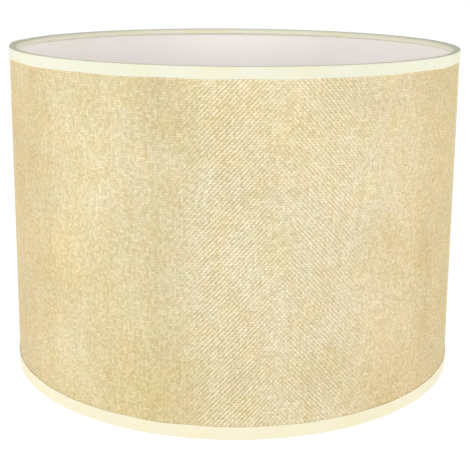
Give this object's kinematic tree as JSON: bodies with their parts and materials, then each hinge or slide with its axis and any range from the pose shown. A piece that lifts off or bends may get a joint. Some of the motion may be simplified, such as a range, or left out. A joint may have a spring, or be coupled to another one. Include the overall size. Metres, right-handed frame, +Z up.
{
  "type": "lamp shade",
  "caption": "Drum lamp shade in woven straw-coloured cloth on a white liner, with cream tape over its wire rings and a recessed spider fitter with a loose reducer ring.",
  "frame": {"origin": "centre of the plane of the bottom edge", "axes": "+Z up along the shade's axis, +Y towards the back, with the lapped seam at -X, the left-hand side seen from the front, +X to the right seen from the front"},
  "size_m": [0.3531, 0.3516, 0.2516],
  "materials": {
    "woven_cloth": "plain weave, straw-coloured, slubby",
    "liner": "matt styrene sheet",
    "edge_tape": "fine cotton weave, cream",
    "wire": "white powder coat",
    "fitter": "white powder coat",
    "reducer": "moulded, satin",
    "seam_adhesive": "adhesive film"
  },
  "bodies": {
    "shade": {"fabric_cover": "woven_cloth", "lining": "liner", "seam_tape": "seam_adhesive", "top_ring": "wire", "bottom_ring": "wire", "top_trim_tape": "edge_tape", "bottom_trim_tape": "edge_tape", "spider_arm_1": "wire", "spider_arm_2": "wire", "spider_arm_3": "wire", "fitter_ring": "fitter"},
    "reducer": {"reducer_ring": "reducer"}
  },
  "joints": [
    {"name": "reducer_lift", "type": "slide", "parent": "shade", "child": "reducer", "axis": [0, 0, 1], "range_m": [0, 0.24]}
  ]
}
